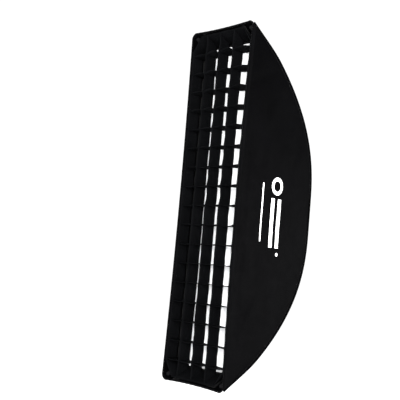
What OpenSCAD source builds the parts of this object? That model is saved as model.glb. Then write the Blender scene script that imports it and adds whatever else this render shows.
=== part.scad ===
// Strip softbox with a fabric egg-crate grid, for a flash head with a three-lug S-type bayonet.
// Frame, in millimetres: +Z runs up the long side, +X across the width, and the open front faces -Y.
// The origin is the centre of the bayonet's seating face, at the back of the box.

/* [Shell] */
// Width of the front, corner to corner
front_w = 220; // [200:5:260]
// Length of the front, corner to corner
front_l = 900; // [860:10:960]
// Depth of the shell, from the front hem to the back of the fabric
shell_d = 300; // [270:5:330]
// How far the middle of each long front edge is pulled in
side_bow = 7; // [0:1:12]
// How far the middle of each short front edge is pulled in
end_bow = 4; // [0:1:4]
// Radius of the corners of the front hem
corner_r = 15; // [12:1:20]
// Power of the curve that the rods bend the shell to
bow_power = 2.3; // [2:0.1:2.6]
// Thickness of the black outer fabric
fabric_t = 1.2; // [0.8:0.1:1.6]

/* [Grid and diffusers] */
// Cells of the grid along the long side
cell_rows = 18; // [14:2:20]
// Depth of the grid's strips
grid_depth = 38; // [28:1:38]
// Thickness of the grid's strips
strip_t = 1.5; // [1:0.1:2]
// Distance of the front diffuser behind the front hem
diffuser_inset = 44; // [42:1:50]
// Distance of the inner baffle behind the bayonet's seating face
baffle_y = 150; // [130:5:170]

/* [Speed ring] */
// Outer radius of the speed ring
ring_r = 76; // [74:0.5:76]
// Bore of the speed ring, in which the bayonet turns
ring_bore_r = 54; // [53:0.5:55]
// Radius of the light opening through the bayonet
light_r = 45.5; // [44:0.5:46]
// Outside radius of the bayonet's collar
collar_r = 48.5; // [48:0.5:49]
// Diameter of the spring rods
rod_d = 5; // [4:0.5:5]

/* [Hidden] */

half_w = front_w / 2;
half_l = front_l / 2;
apex_y = -6;                    // outer face of the fabric at the back
front_y = apex_y - shell_d;     // front face of the hem
flat_z = 40;                    // the fabric lies flat beside the ring up to this height
back_half_w = 82;               // half width of the shell beside the ring
splay_power = 1.8;              // how the shell widens towards the front corners
corner_from = 0.8;              // the seams begin to round into the corner from this share of their rise
hem_t = 4;                      // hem, front to back
hem_w = 4;                      // hem, seen from the front
panel_end = 0.992;              // share of the rise at which the panels meet the hem
lining_gap = 0.35;              // between a side panel and its lining
end_lining_gap = 0.5;           // between an end panel and its lining
lining_t = 0.45;
lining_front_y = -254;          // the lining ends behind the front diffuser
tape_t = 1;                     // hook-and-loop tape
tape_gap = fabric_t + 0.3;
stack_t = tape_gap + tape_t;    // fabric and tape together
seam_gap = 0.2;

// ---- the shell's surfaces ----

// Share of the way up a seam, 0 beside the ring and 1 at the front corner
function rise(z) = max(0, (abs(z) - flat_z) / (half_l - flat_z));
function back_y(z) = apex_y - shell_d * pow(rise(z), bow_power);
function seam_x(z) = back_half_w + (half_w - back_half_w) * pow(rise(z), splay_power);
function front_x(z) = half_w - side_bow * (1 - pow(z / half_l, 2));
function front_z(x) = half_l - end_bow * (1 - pow(x / half_w, 2));
// Height of the seam at a given depth
function seam_z(y) = flat_z + (half_l - flat_z) * pow(max(0, (apex_y - y) / shell_d), 1 / bow_power);
// Slope angle of an end panel, 0 where it lies flat at the back
function end_angle(z) = atan(shell_d * bow_power * pow(rise(z), bow_power - 1) / (half_l - flat_z));
function smooth(t) = let (c = min(1, max(0, t))) c * c * (3 - 2 * c);
function corner_at(z) = corner_r * smooth((rise(z) - corner_from) / (1 - corner_from));

// Side panel: a straight line from the seam to the front edge at each height
function side_x(z, y) =
    let (yb = back_y(z), t = min(1, max(0, (yb - y) / max(0.01, yb - front_y))))
    seam_x(z) + (front_x(z) - seam_x(z)) * t;

// End panel: follows the seams, with a slight dip between them
function end_dip(x, z) = end_bow * (1 - pow(x / half_w, 2)) * pow(rise(z), 2);

// A point on the side panel's level at seam height zh, u from -1 to 1 along it, d inside the outer face
arc_share = 0.12;               // share of each end of a level that runs round the corner
arc_deg = 44.5;
function side_level(zh, u, d) =
    let (rc = corner_at(zh), k = smooth(rc / corner_r), s = abs(u), y = back_y(zh), zc = zh - rc,
         straight = min(1, s / (1 - arc_share)),
         a = arc_deg * max(0, (s - 1 + arc_share) / arc_share),
         plain_z = s * (zc + rc * sin(arc_deg)),
         z = plain_z + (straight * zc + rc * sin(a) - plain_z) * k,
         x = side_x(zc * (s + (straight - s) * k), y) - rc * (1 - cos(a)),
         turn = a * k)
    [x - d * cos(turn), y, sign(u) * (z - d * sin(turn))];

// A point on the end panel, u from -1 to 1 across it, z its height before the dip, d inside the outer face
function end_level(z, u, d) =
    let (rc = corner_at(z), k = smooth(rc / corner_r), s = abs(u), y = back_y(z), e = end_angle(z),
         reach = side_x(z - rc, y) - rc - (fabric_t + seam_gap) * (1 - k * k),
         straight = min(1, s / (1 - arc_share)),
         a = arc_deg * max(0, (s - 1 + arc_share) / arc_share),
         round_x = straight * reach + rc * sin(a),
         plain_x = s * (reach + rc * sin(arc_deg)),
         x = plain_x + (round_x - plain_x) * k,
         turn = a * k)
    [sign(u) * (x - d * sin(turn)),
     y - d * cos(e) * cos(turn),
     z - rc * (1 - cos(a)) - end_dip(x, z) - d * sin(e) * cos(turn)];

// ---- closed solids from grids of points ----

// A sheet between two grids of the same size; front and back are lists of rows
module sheet(front, back) {
    rows = len(front);
    cols = len(front[0]);
    n = rows * cols;
    points = concat([for (r = front) each r], [for (r = back) each r]);
    faces = concat(
        [for (i = [0 : rows - 2], j = [0 : cols - 2])
            let (a = i * cols + j, b = a + 1, c = a + cols + 1, e = a + cols)
            each [[a, c, b], [a, e, c], [n + a, n + b, n + c], [n + a, n + c, n + e]]],
        [for (j = [0 : cols - 2]) let (a = j, b = j + 1, c = (rows - 1) * cols + j, e = c + 1)
            each [[a, b, n + b], [a, n + b, n + a], [c, n + e, e], [c, n + c, n + e]]],
        [for (i = [0 : rows - 2]) let (a = i * cols, b = a + cols, c = a + cols - 1, e = c + cols)
            each [[a, n + b, b], [a, n + a, n + b], [c, e, n + e], [c, n + e, n + c]]]
    );
    polyhedron(points, faces);
}

// A round bar of radius r along a list of points
module bar(path, r, sides) {
    n = len(path);
    rings = [for (i = [0 : n - 1])
        let (t = unit(path[min(n - 1, i + 1)] - path[max(0, i - 1)]),
             p = unit(cross(t, [1, 0, 0])),
             q = cross(t, p))
        each [for (k = [0 : sides - 1]) path[i] + r * (cos(360 * k / sides) * p + sin(360 * k / sides) * q)]];
    faces = concat(
        [[for (k = [0 : sides - 1]) k]],
        [for (i = [0 : n - 2], k = [0 : sides - 1])
            let (a = i * sides + k, b = i * sides + (k + 1) % sides, c = b + sides, e = a + sides)
            each [[a, e, c], [a, c, b]]],
        [[for (k = [0 : sides - 1]) (n - 1) * sides + sides - 1 - k]]
    );
    polyhedron(rings, faces);
}
function unit(v) = v / norm(v);

// A disc about the bayonet's axis, between two depths
module disc(r, y0, y1) {
    translate([0, y0, 0]) rotate([-90, 0, 0]) cylinder(r = r, h = y1 - y0, $fn = 96);
}
// A pin or hole parallel to the bayonet's axis
module pin_y(x, z, r, y0, y1) {
    translate([x, y0, z]) rotate([-90, 0, 0]) cylinder(r = r, h = y1 - y0, $fn = 32);
}
// Turns children about the bayonet's axis
module turned(a) {
    rotate([0, -a, 0]) children();
}
// Lays a drawing of (x, z) in the plane y = y0 and gives it a thickness towards +Y
module plate(y0, t) {
    translate([0, y0 + t, 0]) rotate([90, 0, 0]) linear_extrude(t) children();
}
// The four quarters of the box, named by their signs
module quarter(sx, sz) {
    mirror([sx < 0 ? 1 : 0, 0, 0]) mirror([0, 0, sz < 0 ? 1 : 0]) children();
}

// ---- speed ring and bayonet ----

pad_r = 57;                     // seating pad of the insert, flush with the origin plane
rim_r = 62.6;                   // rim that the clips hold
ring_back_y = -1.5;
ring_front_y = -10;
seat_y = -4.6;                  // floor of the ring's counterbore
screw_ring_r = 68;
screw_angles = [45, 135, 225, 315];

module bayonet_insert() {
    lug_w = 30;
    color([0.72, 0.73, 0.75]) difference() {
        union() {
            disc(pad_r, -3, 0);
            disc(rim_r, -4.3, -1.9);
            disc(ring_bore_r - 0.05, -9.5, -3);
            disc(collar_r, -1, 10);
            intersection() {
                disc(collar_r + 4.5, 6.5, 9.5);
                for (a = [90, 210, 330]) turned(a)
                    translate([0, 6, -lug_w / 2]) cube([collar_r + 6, 4, lug_w]);
            }
        }
        disc(light_r, -11, 11);
    }
}

module speed_ring() {
    color([0.16, 0.16, 0.17]) difference() {
        disc(ring_r, ring_front_y, ring_back_y);
        disc(ring_bore_r, ring_front_y - 1, ring_back_y + 1);
        disc(rim_r + 0.4, seat_y, ring_back_y + 1);
        difference() {          // groove for the fabric collar's bead
            disc(ring_r + 1, -7.5, -4.5);
            disc(ring_r - 1.8, -8, -4);
        }
        for (a = screw_angles) turned(a) pin_y(screw_ring_r, 0, 2, -9.2, 0);
        for (sx = [-1, 1], sz = [-1, 1], z = rivet_z) pin_y(sx * rivet_x, sz * z, 1.65, ring_front_y - 1, -4);
    }
}

module ring_clips() {
    color([0.6, 0.6, 0.62]) for (a = screw_angles) turned(a) difference() {
        intersection() {
            disc(screw_ring_r + 5.5, ring_back_y, -0.1);
            translate([0, -5, -7]) cube([100, 10, 14]);
        }
        disc(pad_r + 1.5, -5, 5);
        pin_y(screw_ring_r, 0, 2.15, -5, 5);
    }
}

module lock_screw(a) {
    knob_r = 5.5;
    knurls = 16;
    color([0.2, 0.2, 0.21]) turned(a) union() {
        pin_y(screw_ring_r, 0, 1.95, -9, 1);
        difference() {
            union() {
                pin_y(screw_ring_r, 0, knob_r, 1.2, 8.2);
                pin_y(screw_ring_r, 0, 4, 0.2, 1.2);
            }
            for (k = [0 : knurls - 1]) pin_y(
                screw_ring_r + knob_r * cos(360 * k / knurls), knob_r * sin(360 * k / knurls), 0.6, 1, 9);
            translate([screw_ring_r - 7, 7, -0.6]) cube([14, 2, 1.2]);
        }
    }
}

// ---- rods, their sockets and their front pockets ----

rod_x = 72;
rod_y = -15;
rod_tip = [94.5, -298, 434];
rod_start_z = 14;
socket_end_z = 48;
rivet_x = 64.6;
rivet_z = [13, 22];
rod_rings = 34;

function rod_at(v) = [
    rod_x + (rod_tip[0] - rod_x) * pow(v, 1.2),
    rod_y + (rod_tip[1] - rod_y) * pow(v, bow_power),
    flat_z + (rod_tip[2] - flat_z) * v
];
function rod_end_dir() = unit(rod_at(1) - rod_at(0.98));

module rod_socket() {
    color([0.45, 0.45, 0.47]) difference() {
        union() {
            translate([rod_x, rod_y, 12]) cylinder(r = 4.5, h = socket_end_z - 12, $fn = 48);
            intersection() {
                translate([61, ring_front_y - 2, 8]) cube([rod_x - 61, 2, 19]);
                disc(ring_r - 0.5, -20, 0);
            }
        }
        translate([rod_x, rod_y, rod_start_z - 0.3]) cylinder(r = rod_d / 2 + 0.2, h = 60, $fn = 48);
        for (z = rivet_z) pin_y(rivet_x, z, 1.65, -20, 0);
    }
}

module socket_rivets() {
    color([0.7, 0.7, 0.72]) for (sx = [-1, 1], sz = [-1, 1], z = rivet_z) union() {
        pin_y(sx * rivet_x, sz * z, 1.6, ring_front_y - 3, -4.2);
        pin_y(sx * rivet_x, sz * z, 2.5, ring_front_y - 3.4, ring_front_y - 2);
    }
}

module spring_rod() {
    path = concat(
        [for (z = [rod_start_z, rod_start_z + 13]) [rod_x, rod_y, z]],
        [for (i = [0 : rod_rings]) rod_at(i / rod_rings)]
    );
    color([0.5, 0.51, 0.53]) bar(path, rod_d / 2, 12);
}

// Places children with their +Z along the rod's end, measured from its tip
module at_rod_end() {
    d = rod_end_dir();
    translate(rod_tip) rotate([0, acos(d[2]), atan2(d[1], d[0])]) children();
}

module rod_caps() {
    color([0.12, 0.12, 0.12]) for (sx = [-1, 1], sz = [-1, 1]) quarter(sx, sz) at_rod_end() difference() {
        translate([0, 0, -12]) cylinder(r = 4, h = 14, $fn = 40);
        translate([0, 0, -13]) cylinder(r = rod_d / 2 + 0.25, h = 13.1, $fn = 40);
    }
}

module corner_pockets() {
    color([0.08, 0.08, 0.08]) for (sx = [-1, 1], sz = [-1, 1]) quarter(sx, sz) at_rod_end() difference() {
        translate([0, 0, -9]) cylinder(r = 5.3, h = 12.2, $fn = 40);
        translate([0, 0, -10]) cylinder(r = 4.15, h = 12.2, $fn = 40);
    }
}

// ---- fabric shell ----

level_rows = 20;
side_u = across_panel(8);
end_u = across_panel(4);
collar_clear_r = 79.2;          // the end panels' edge round the collar

// Places across a panel: even steps on its straight stretch and close ones in its corner arcs
function across_panel(steps) = [
    for (s = [-1, -0.96, -0.92]) s,
    for (i = [-steps : steps]) i / steps * (1 - arc_share),
    for (s = [0.92, 0.96, 1]) s
];

function level_height(i, first, last) =
    flat_z + (half_l - flat_z) * (first + (last - first) * i / level_rows);
function side_grid(d) = [for (i = [0 : level_rows])
    [for (u = side_u) side_level(level_height(i, 0, panel_end), u, d)]];

// An end panel starts on the ring's circle and runs to the front hem
end_rows = 22;
function end_start(u, r) = sqrt(max(0, r * r - pow(u * (back_half_w - fabric_t - seam_gap), 2)));
function end_row_z(u, i, r) =
    let (z0 = end_start(u, r), z1 = flat_z + (half_l - flat_z) * panel_end) z0 + (z1 - z0) * i / end_rows;
function end_grid(r, d) = [for (i = [0 : end_rows]) [for (u = end_u) end_level(end_row_z(u, i, r), u, d)]];

module side_panel() {
    color([0.05, 0.05, 0.05]) sheet(side_grid(0), side_grid(fabric_t));
}
module side_lining() {
    first = 0.14;
    last = rise(seam_z(lining_front_y));
    d = fabric_t + lining_gap;
    inset = fabric_t + end_lining_gap + lining_t + 0.5;     // keeps clear of the end panels
    function inner(zh, u, k) =
        let (p = side_level(zh, u, k), e = end_angle(zh))
        [p[0], p[1] - inset * cos(e), p[2] - u * inset * sin(e)];
    function grid(k) = [
        for (i = [0 : level_rows]) [for (u = side_u) inner(level_height(i, first, last), u, k)]
    ];
    color([0.75, 0.76, 0.78]) sheet(grid(d), grid(d + lining_t));
}
module end_panel() {
    color([0.05, 0.05, 0.05]) sheet(end_grid(collar_clear_r, fabric_t), end_grid(collar_clear_r, 0));
}
module end_lining() {
    d = fabric_t + end_lining_gap;
    inset = 4;                  // the lining stops short of the side lining
    z_end = seam_z(lining_front_y);
    function inner(z, u, k) = let (p = end_level(z, u, k)) [p[0] - u * inset, p[1], p[2]];
    function row_z(u, i) = let (z0 = 8 + end_start(u, collar_clear_r + 14)) z0 + (z_end - z0) * i / end_rows;
    function grid(k) = [for (i = [0 : end_rows]) [for (u = end_u) inner(row_z(u, i), u, k)]];
    color([0.75, 0.76, 0.78]) sheet(grid(d + lining_t), grid(d));
}

// Corded piping outside a seam, from beside the ring to the front corner
piping_r = 1.7;
piping_from = 0.3;
piping_rows = 34;
module piping() {
    out = piping_r + 0.5;
    z_end = flat_z + (half_l - flat_z) * panel_end;
    path = [for (i = [0 : piping_rows])
        let (z = piping_from + (z_end - piping_from) * i / piping_rows,
             y = back_y(z), rc = corner_at(z), e = end_angle(z),
             x = side_x(z - rc, y) - rc * (1 - cos(45)))
        [x + out * 0.75, y + out * 0.66 * cos(e), z - rc * (1 - cos(45)) + out * 0.66 * sin(e)]];
    color([0.03, 0.03, 0.03]) bar(path, piping_r, 8);
}

// Outline of the front, inset by d, as (x, z) points
corner_steps = 6;
corner_cx = front_x(half_l - corner_r) - corner_r;
corner_cz = front_z(half_w - corner_r) - corner_r;
function quarter_outline(d) = concat(
    [for (i = [0 : 11]) let (z = corner_cz * i / 12) [front_x(z) - d, z]],
    [for (k = [0 : corner_steps]) let (a = 90 * k / corner_steps)
        [corner_cx + (corner_r - d) * cos(a), corner_cz + (corner_r - d) * sin(a)]],
    [for (i = [3 : -1 : 0]) let (x = corner_cx * i / 4) [x, front_z(x) - d]]
);
function reversed(p) = [for (i = [len(p) - 1 : -1 : 0]) p[i]];
function mirrored(p, sx, sz) = [for (q = p) [sx * q[0], sz * q[1]]];
// A closed outline from its first quarter, which runs from the x axis to the z axis
function closed(p) =
    let (n = len(p), body = [for (i = [0 : n - 2]) p[i]], tail = [for (i = [1 : n - 1]) p[i]])
    concat(body, mirrored(reversed(tail), -1, 1), mirrored(body, -1, -1), mirrored(reversed(tail), 1, -1));

module front_hem() {
    color([0.04, 0.04, 0.04]) plate(front_y, hem_t) difference() {
        polygon(closed(quarter_outline(0)));
        polygon(closed(quarter_outline(hem_w)));
    }
}

// Loop tape on the inside of the lip, from just behind the hem to the front diffuser
tape_front_y = front_y + hem_t + 1.5;
tape_back_y = front_y + diffuser_inset + 4;
module side_tape() {
    function grid(d) = [for (i = [0 : 3]) [for (j = [-10 : 10])
        let (z = 39.5 * j, y = tape_back_y + (tape_front_y - tape_back_y) * i / 3) [side_x(z, y) - d, y, z]]];
    color([0.07, 0.07, 0.07]) sheet(grid(tape_gap), grid(stack_t));
}
module end_tape() {
    z0 = seam_z(tape_back_y);
    z1 = seam_z(tape_front_y);
    function grid(d) = [for (i = [0 : 3]) [for (j = [-4 : 4])
        let (x = 18 * j, z = z0 + (z1 - z0) * i / 3, e = end_angle(z))
        [x, back_y(z) - d * cos(e), z - end_dip(x, z) - d * sin(e)]]];
    color([0.07, 0.07, 0.07]) sheet(grid(stack_t), grid(tape_gap));
}

module rear_collar() {
    color([0.06, 0.06, 0.06]) rotate([-90, 0, 0]) rotate_extrude($fn = 96)
        polygon([[76.3, -9.5], [77.6, -9.5], [77.6, -4.2], [76.9, -1], [75.6, 0.2], [74.8, 0.2], [74.8, -1.2],
                 [76.3, -1.2], [76.3, -4.8], [74.6, -4.8], [74.6, -7.2], [76.3, -7.2]]);
}

tab_w = 20;
tab_angles = [68, 112, 248, 292];
module ring_tabs() {
    color([0.05, 0.05, 0.05]) for (a = tab_angles) turned(a) union() {
        translate([78.3, -5.4, -tab_w / 2]) cube([1.2, 7, tab_w]);
        translate([65, 0.4, -tab_w / 2]) cube([14.5, 1.2, tab_w]);
    }
}
module tab_hook_pads() {
    color([0.1, 0.1, 0.1]) for (a = tab_angles) turned(a)
        translate([65.5, ring_back_y, -tab_w / 2 + 1]) cube([7.5, 1.8, tab_w - 2]);
}

// ---- diffusers ----

baffle_half_w = 74;
baffle_half_l = 300;
function chamfered(w, l, c) = [[w, -l + c], [w, l - c], [w - c, l], [-w + c, l], [-w, l - c], [-w, -l + c],
                               [-w + c, -l], [w - c, -l]];

module inner_baffle() {
    color([0.96, 0.96, 0.95]) plate(-baffle_y, 0.8)
        polygon(chamfered(baffle_half_w, baffle_half_l, 22));
}
module baffle_straps() {
    strap_w = 14;
    y = -baffle_y + 0.9;
    lap = 8;
    color([0.9, 0.9, 0.9]) {
        for (sx = [-1, 1], z = [-220, 0, 220]) quarter(sx, 1)
            translate([baffle_half_w - lap, y, z - strap_w / 2])
                cube([side_x(z, y) - fabric_t - lining_gap - lining_t - 1 - baffle_half_w + lap, 1, strap_w]);
        for (sz = [-1, 1]) quarter(1, sz)
            translate([-strap_w / 2, y, baffle_half_l - lap])
                cube([strap_w, 1, seam_z(-baffle_y) - 9 - baffle_half_l + lap]);
    }
}

// Outline of the front diffuser, inset by d, which keeps clear of the tape and the rods
diffuser_y = front_y + diffuser_inset;
diffuser_half_l = seam_z(diffuser_y) - 8;
diffuser_chamfer = 26;
function diffuser_quarter(d) = concat(
    [for (i = [0 : 8])
        let (z = (diffuser_half_l - diffuser_chamfer) * i / 8) [side_x(z, diffuser_y) - stack_t - 1 - d, z]],
    [[side_x(diffuser_half_l, diffuser_y) - stack_t - diffuser_chamfer - d * 0.4, diffuser_half_l - d],
     [0, diffuser_half_l - d]]
);
module front_diffuser() {
    color([0.97, 0.97, 0.97]) plate(diffuser_y, 0.6) polygon(closed(diffuser_quarter(0)));
}
module diffuser_border() {
    color([0.07, 0.07, 0.07]) plate(diffuser_y - 1.4, 1.3) difference() {
        polygon(closed(diffuser_quarter(0)));
        polygon(closed(diffuser_quarter(6)));
    }
}

// ---- egg-crate grid ----

grid_front_y = front_y + 1.5;
grid_back_y = grid_front_y + grid_depth;
grid_clear = 6.3;               // side walls inside the front outline
wall_end_z = 402;               // the side walls end here and turn to the end walls
end_wall_half_w = 75;
end_front_z = half_l - 10;      // outer face of an end wall at the front
end_back_z = seam_z(grid_back_y) - 9;
row_drop = 5;                   // the cross strips hang this much below even spacing
cell_pitch = 2 * (end_front_z - strip_t) / cell_rows;
strip_left = -0.535;            // places of the long strips, as shares of the half width
strip_centre = -0.08;
strip_right = 0.42;

// Side of a long strip at share k of the grid's half width, from -1 to 1
function strip_x(k, z) = k * (front_x(z) - grid_clear - strip_t / 2);

module long_strip(k, reach) {
    steps = 24;
    edge = [for (i = [-steps : steps]) reach * i / steps];
    translate([0, grid_back_y, 0]) rotate([90, 0, 0]) linear_extrude(grid_depth) polygon(concat(
        [for (z = edge) [strip_x(k, z) + strip_t / 2, z]],
        [for (z = reversed(edge)) [strip_x(k, z) - strip_t / 2, z]]
    ));
}

// A prism along X with the end walls' slant; grow moves the slanted faces outwards
module slanted(half_x, grow) {
    translate([-half_x, 0, 0]) rotate([90, 0, 90]) linear_extrude(2 * half_x) polygon([
        [grid_front_y, end_front_z + grow], [grid_back_y, end_back_z + grow],
        [grid_back_y, -end_back_z - grow], [grid_front_y, -end_front_z - grow]
    ]);
}

module grid_strip(k) {
    color([0.05, 0.05, 0.05]) intersection() {
        long_strip(k, half_l);
        slanted(half_w, -strip_t - 0.1);
    }
}

module grid_border() {
    color([0.05, 0.05, 0.05]) {
        for (k = [-1, 1]) long_strip(k, wall_end_z);
        difference() {
            slanted(end_wall_half_w, 0);
            slanted(half_w, -strip_t);
        }
        for (sx = [-1, 1], sz = [-1, 1]) quarter(sx, sz) hull() {
            translate([strip_x(1, wall_end_z) - strip_t / 2, grid_front_y, wall_end_z])
                cube([strip_t, grid_depth, 0.2]);
            intersection() {
                translate([end_wall_half_w, grid_front_y, 300]) cube([0.2, grid_depth, 200]);
                difference() {
                    slanted(half_w, 0);
                    slanted(half_w + 1, -strip_t);
                }
            }
        }
    }
}

module grid_cross_pieces() {
    lines = [-1, strip_left, strip_centre, strip_right, 1];
    color([0.05, 0.05, 0.05]) for (i = [1 : cell_rows - 1], c = [0 : 3]) {
        z = (i - cell_rows / 2) * cell_pitch - row_drop;
        x0 = strip_x(lines[c], z) + strip_t / 2;
        x1 = strip_x(lines[c + 1], z) - strip_t / 2;
        translate([x0 + 0.1, grid_front_y + 0.5, z - strip_t / 2])
            cube([x1 - x0 - 0.2, grid_depth - 1, strip_t]);
    }
}

bayonet_insert();
speed_ring();
ring_clips();
lock_screw(screw_angles[0]);  // lock_screw_1
lock_screw(screw_angles[1]);  // lock_screw_2
lock_screw(screw_angles[2]);  // lock_screw_3
lock_screw(screw_angles[3]);  // lock_screw_4
quarter(1, 1) rod_socket();  // rod_socket_upper_right
quarter(-1, 1) rod_socket();  // rod_socket_upper_left
quarter(1, -1) rod_socket();  // rod_socket_lower_right
quarter(-1, -1) rod_socket();  // rod_socket_lower_left
socket_rivets();
quarter(1, 1) spring_rod();  // rod_upper_right
quarter(-1, 1) spring_rod();  // rod_upper_left
quarter(1, -1) spring_rod();  // rod_lower_right
quarter(-1, -1) spring_rod();  // rod_lower_left
rod_caps();
corner_pockets();
quarter(1, 1) side_panel();  // side_panel_right
quarter(-1, 1) side_panel();  // side_panel_left
quarter(1, 1) end_panel();  // end_panel_top
quarter(1, -1) end_panel();  // end_panel_bottom
quarter(1, 1) side_lining();  // lining_right
quarter(-1, 1) side_lining();  // lining_left
quarter(1, 1) end_lining();  // lining_top
quarter(1, -1) end_lining();  // lining_bottom
quarter(1, 1) piping();  // piping_upper_right
quarter(-1, 1) piping();  // piping_upper_left
quarter(1, -1) piping();  // piping_lower_right
quarter(-1, -1) piping();  // piping_lower_left
front_hem();
quarter(1, 1) side_tape();  // loop_tape_right
quarter(-1, 1) side_tape();  // loop_tape_left
quarter(1, 1) end_tape();  // loop_tape_top
quarter(1, -1) end_tape();  // loop_tape_bottom
rear_collar();
ring_tabs();
tab_hook_pads();
inner_baffle();
baffle_straps();
front_diffuser();
diffuser_border();
grid_border();
grid_strip(strip_right);  // grid_strip_right
grid_strip(strip_centre);  // grid_strip_centre
grid_strip(strip_left);  // grid_strip_left
grid_cross_pieces();
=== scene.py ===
"""Looks of the strip softbox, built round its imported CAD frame.

Everything is in metres and in the part's own frame: +Z runs up the long side, +X across the
width, the open front faces -Y, and the origin is the centre of the bayonet's seating face.
"""
import math

import bmesh
import bpy
from mathutils import Matrix, Vector, noise


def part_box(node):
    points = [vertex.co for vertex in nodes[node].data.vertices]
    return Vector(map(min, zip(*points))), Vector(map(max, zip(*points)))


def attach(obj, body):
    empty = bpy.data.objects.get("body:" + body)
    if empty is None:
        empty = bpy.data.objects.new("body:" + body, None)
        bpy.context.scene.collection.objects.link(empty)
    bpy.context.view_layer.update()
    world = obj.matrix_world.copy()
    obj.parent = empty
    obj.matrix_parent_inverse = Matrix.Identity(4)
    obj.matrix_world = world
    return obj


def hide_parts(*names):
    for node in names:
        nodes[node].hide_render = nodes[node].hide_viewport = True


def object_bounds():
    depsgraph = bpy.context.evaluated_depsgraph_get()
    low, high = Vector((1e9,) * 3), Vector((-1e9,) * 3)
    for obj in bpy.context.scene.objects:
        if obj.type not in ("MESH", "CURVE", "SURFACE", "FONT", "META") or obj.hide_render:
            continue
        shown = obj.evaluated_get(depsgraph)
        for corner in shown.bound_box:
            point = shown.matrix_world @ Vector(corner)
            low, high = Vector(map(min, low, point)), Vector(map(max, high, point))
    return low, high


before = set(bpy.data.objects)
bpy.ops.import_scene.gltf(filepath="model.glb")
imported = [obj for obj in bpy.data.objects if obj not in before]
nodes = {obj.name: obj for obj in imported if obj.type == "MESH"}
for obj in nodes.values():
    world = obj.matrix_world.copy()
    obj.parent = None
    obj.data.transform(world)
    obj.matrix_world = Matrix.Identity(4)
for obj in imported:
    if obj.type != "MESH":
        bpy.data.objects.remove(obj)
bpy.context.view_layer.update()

# ---- the shell's driving sizes, as the CAD has them ----

HALF_W = 0.110
HALF_L = 0.450
FRONT_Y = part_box("front_hem")[0].y
APEX_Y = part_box("end_panel_top")[1].y
SHELL_D = APEX_Y - FRONT_Y
FLAT_Z = 0.040
BACK_HALF_W = 0.082
BOW_POWER = 2.3
SPLAY_POWER = 1.8
SIDE_BOW = 0.007
END_BOW = 0.004
CORNER_R = 0.015
CORNER_FROM = 0.8
PANEL_END = 0.992
FABRIC_T = 0.0012
SEAM_GAP = 0.0002
LINING_GAP = 0.00035
END_LINING_GAP = 0.0005
LINING_T = 0.00045
LINING_FIRST = 0.14
LINING_FRONT_Y = -0.254
TAPE_GAP = FABRIC_T + 0.0003
TAPE_T = 0.001
STACK_T = TAPE_GAP + TAPE_T
ARC_SHARE = 0.12
ARC_DEG = 44.5
COLLAR_CLEAR_R = 0.0792
COLLAR_MEET_R = 0.0773
QUARTERS = {"upper_right": (1, 1), "upper_left": (-1, 1), "lower_right": (1, -1), "lower_left": (-1, -1)}
SIDES = {"right": 1, "left": -1}
ENDS = {"top": 1, "bottom": -1}


def smooth(t):
    c = min(1.0, max(0.0, t))
    return c * c * (3 - 2 * c)


def rise(z):
    """The share of the way up a seam: 0 beside the ring and 1 at the front corner."""
    return max(0.0, (abs(z) - FLAT_Z) / (HALF_L - FLAT_Z))


def back_y(z):
    return APEX_Y - SHELL_D * rise(z) ** BOW_POWER


def seam_x(z):
    return BACK_HALF_W + (HALF_W - BACK_HALF_W) * rise(z) ** SPLAY_POWER


def seam_z(y):
    return FLAT_Z + (HALF_L - FLAT_Z) * max(0.0, (APEX_Y - y) / SHELL_D) ** (1 / BOW_POWER)


def front_x(z):
    return HALF_W - SIDE_BOW * (1 - (z / HALF_L) ** 2)


def front_z(x):
    return HALF_L - END_BOW * (1 - (x / HALF_W) ** 2)


def end_angle(z):
    """Slope of an end panel: 0 where it lies flat at the back."""
    return math.atan(SHELL_D * BOW_POWER * rise(z) ** (BOW_POWER - 1) / (HALF_L - FLAT_Z))


def end_dip(x, z):
    return END_BOW * (1 - (x / HALF_W) ** 2) * rise(z) ** 2


def corner_at(z):
    return CORNER_R * smooth((rise(z) - CORNER_FROM) / (1 - CORNER_FROM))


def side_x(z, y):
    """Half width of the shell at a height and depth: straight from the seam to the front edge."""
    yb = back_y(z)
    t = min(1.0, max(0.0, (yb - y) / max(1e-5, yb - FRONT_Y)))
    return seam_x(z) + (front_x(z) - seam_x(z)) * t


def level_height(t, first=0.0, last=PANEL_END):
    return FLAT_Z + (HALF_L - FLAT_Z) * (first + (last - first) * t)


def bend_of(u):
    """(share of the straight stretch, angle round the corner in radians) of a place u across a panel."""
    s = abs(u)
    return min(1.0, s / (1 - ARC_SHARE)), math.radians(ARC_DEG) * max(0.0, (s - 1 + ARC_SHARE) / ARC_SHARE)


def side_level(zh, u, d):
    """A point of the right side panel on the level of seam height zh, d inside its outer face."""
    rc = corner_at(zh)
    k = smooth(rc / CORNER_R)
    s, y, zc = abs(u), back_y(zh), zh - rc
    straight, a = bend_of(u)
    plain_z = s * (zc + rc * math.sin(math.radians(ARC_DEG)))
    z = plain_z + (straight * zc + rc * math.sin(a) - plain_z) * k
    x = side_x(zc * (s + (straight - s) * k), y) - rc * (1 - math.cos(a))
    turn = a * k
    return Vector((x - d * math.cos(turn), y, math.copysign(z - d * math.sin(turn), u)))


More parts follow.
